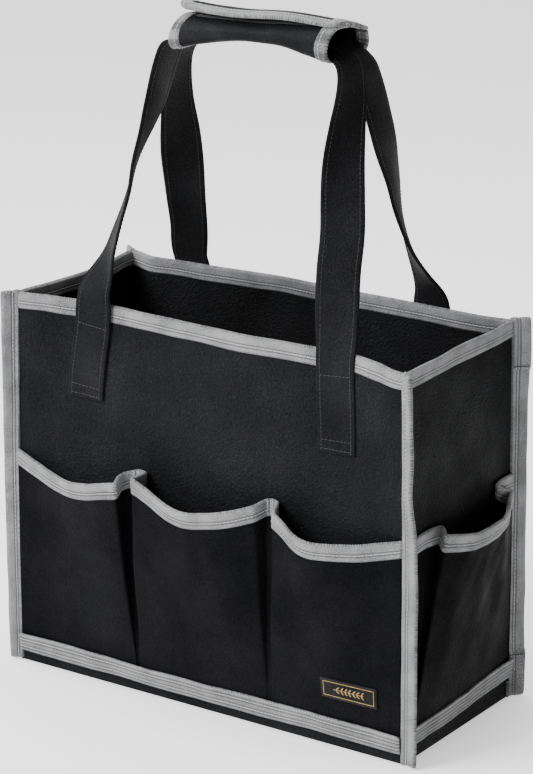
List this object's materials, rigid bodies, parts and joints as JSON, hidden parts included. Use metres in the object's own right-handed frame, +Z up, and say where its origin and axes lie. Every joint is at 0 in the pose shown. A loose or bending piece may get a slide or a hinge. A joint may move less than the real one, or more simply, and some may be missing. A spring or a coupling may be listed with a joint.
{
  "type": "garden tool bag",
  "caption": "Open-top fabric tool bag with bound edges, pleated outside pockets on every side and two webbing straps joined in a padded grip.",
  "frame": {"origin": "middle of the underside, on the surface that the bag stands on", "axes": "+X along the long side, -Y the front with the label, +Z up"},
  "size_m": [0.3724, 0.1868, 0.4946],
  "materials": {
    "fabric": "black non-woven fabric with a fine pebbled face",
    "pocket_fabric": "black non-woven fabric, one layer",
    "grip_fabric": "black non-woven fabric over thin foam",
    "binding": "heather grey woven tape",
    "webbing": "black folded fabric strap, edge stitched",
    "stiffener": "black pressed board",
    "label": "black woven patch with a dull gold border",
    "hook_loop": "black hook-and-loop strip"
  },
  "bodies": {
    "bag": {"back_base_tape": "binding", "back_left_corner_binding": "binding", "back_left_strap_anchor": "webbing", "back_panel": "fabric", "back_pocket_binding": "binding", "back_pocket_panel": "pocket_fabric", "back_right_corner_binding": "binding", "back_right_strap_anchor": "webbing", "back_rim_binding": "binding", "base_board": "stiffener", "base_panel": "fabric", "front_base_tape": "binding", "front_left_corner_binding": "binding", "front_left_strap_anchor": "webbing", "front_panel": "fabric", "front_pocket_binding": "binding", "front_pocket_panel": "pocket_fabric", "front_right_corner_binding": "binding", "front_right_strap_anchor": "webbing", "front_rim_binding": "binding", "label_patch": "label", "left_base_tape": "binding", "left_panel": "fabric", "left_pocket_binding": "binding", "left_pocket_panel": "pocket_fabric", "left_rim_binding": "binding", "right_base_tape": "binding", "right_panel": "fabric", "right_pocket_binding": "binding", "right_pocket_panel": "pocket_fabric", "right_rim_binding": "binding"},
    "front_strap": {"front_grip_pad": "grip_fabric", "front_grip_pad_binding": "binding", "front_strap": "webbing", "grip_loop_strip": "hook_loop"},
    "back_strap": {"back_grip_pad": "grip_fabric", "back_grip_pad_binding": "binding", "back_strap": "webbing"},
    "grip_flap": {"grip_flap": "grip_fabric", "grip_flap_binding": "binding", "grip_hook_strip": "hook_loop"}
  },
  "joints": [
    {"name": "front_strap_swing", "type": "hinge", "parent": "bag", "child": "front_strap", "pos_m": [0, -0.0748, 0.281], "axis": [1, 0, 0], "range_deg": [0, 180]},
    {"name": "back_strap_swing", "type": "hinge", "parent": "bag", "child": "back_strap", "pos_m": [0, 0.0748, 0.281], "axis": [-1, 0, 0], "range_deg": [0, 180]},
    {"name": "grip_flap_open", "type": "hinge", "parent": "back_strap", "child": "grip_flap", "pos_m": [0.004, 0.026, 0.4735], "axis": [-1, 0, 0], "range_deg": [0, 120]}
  ]
}
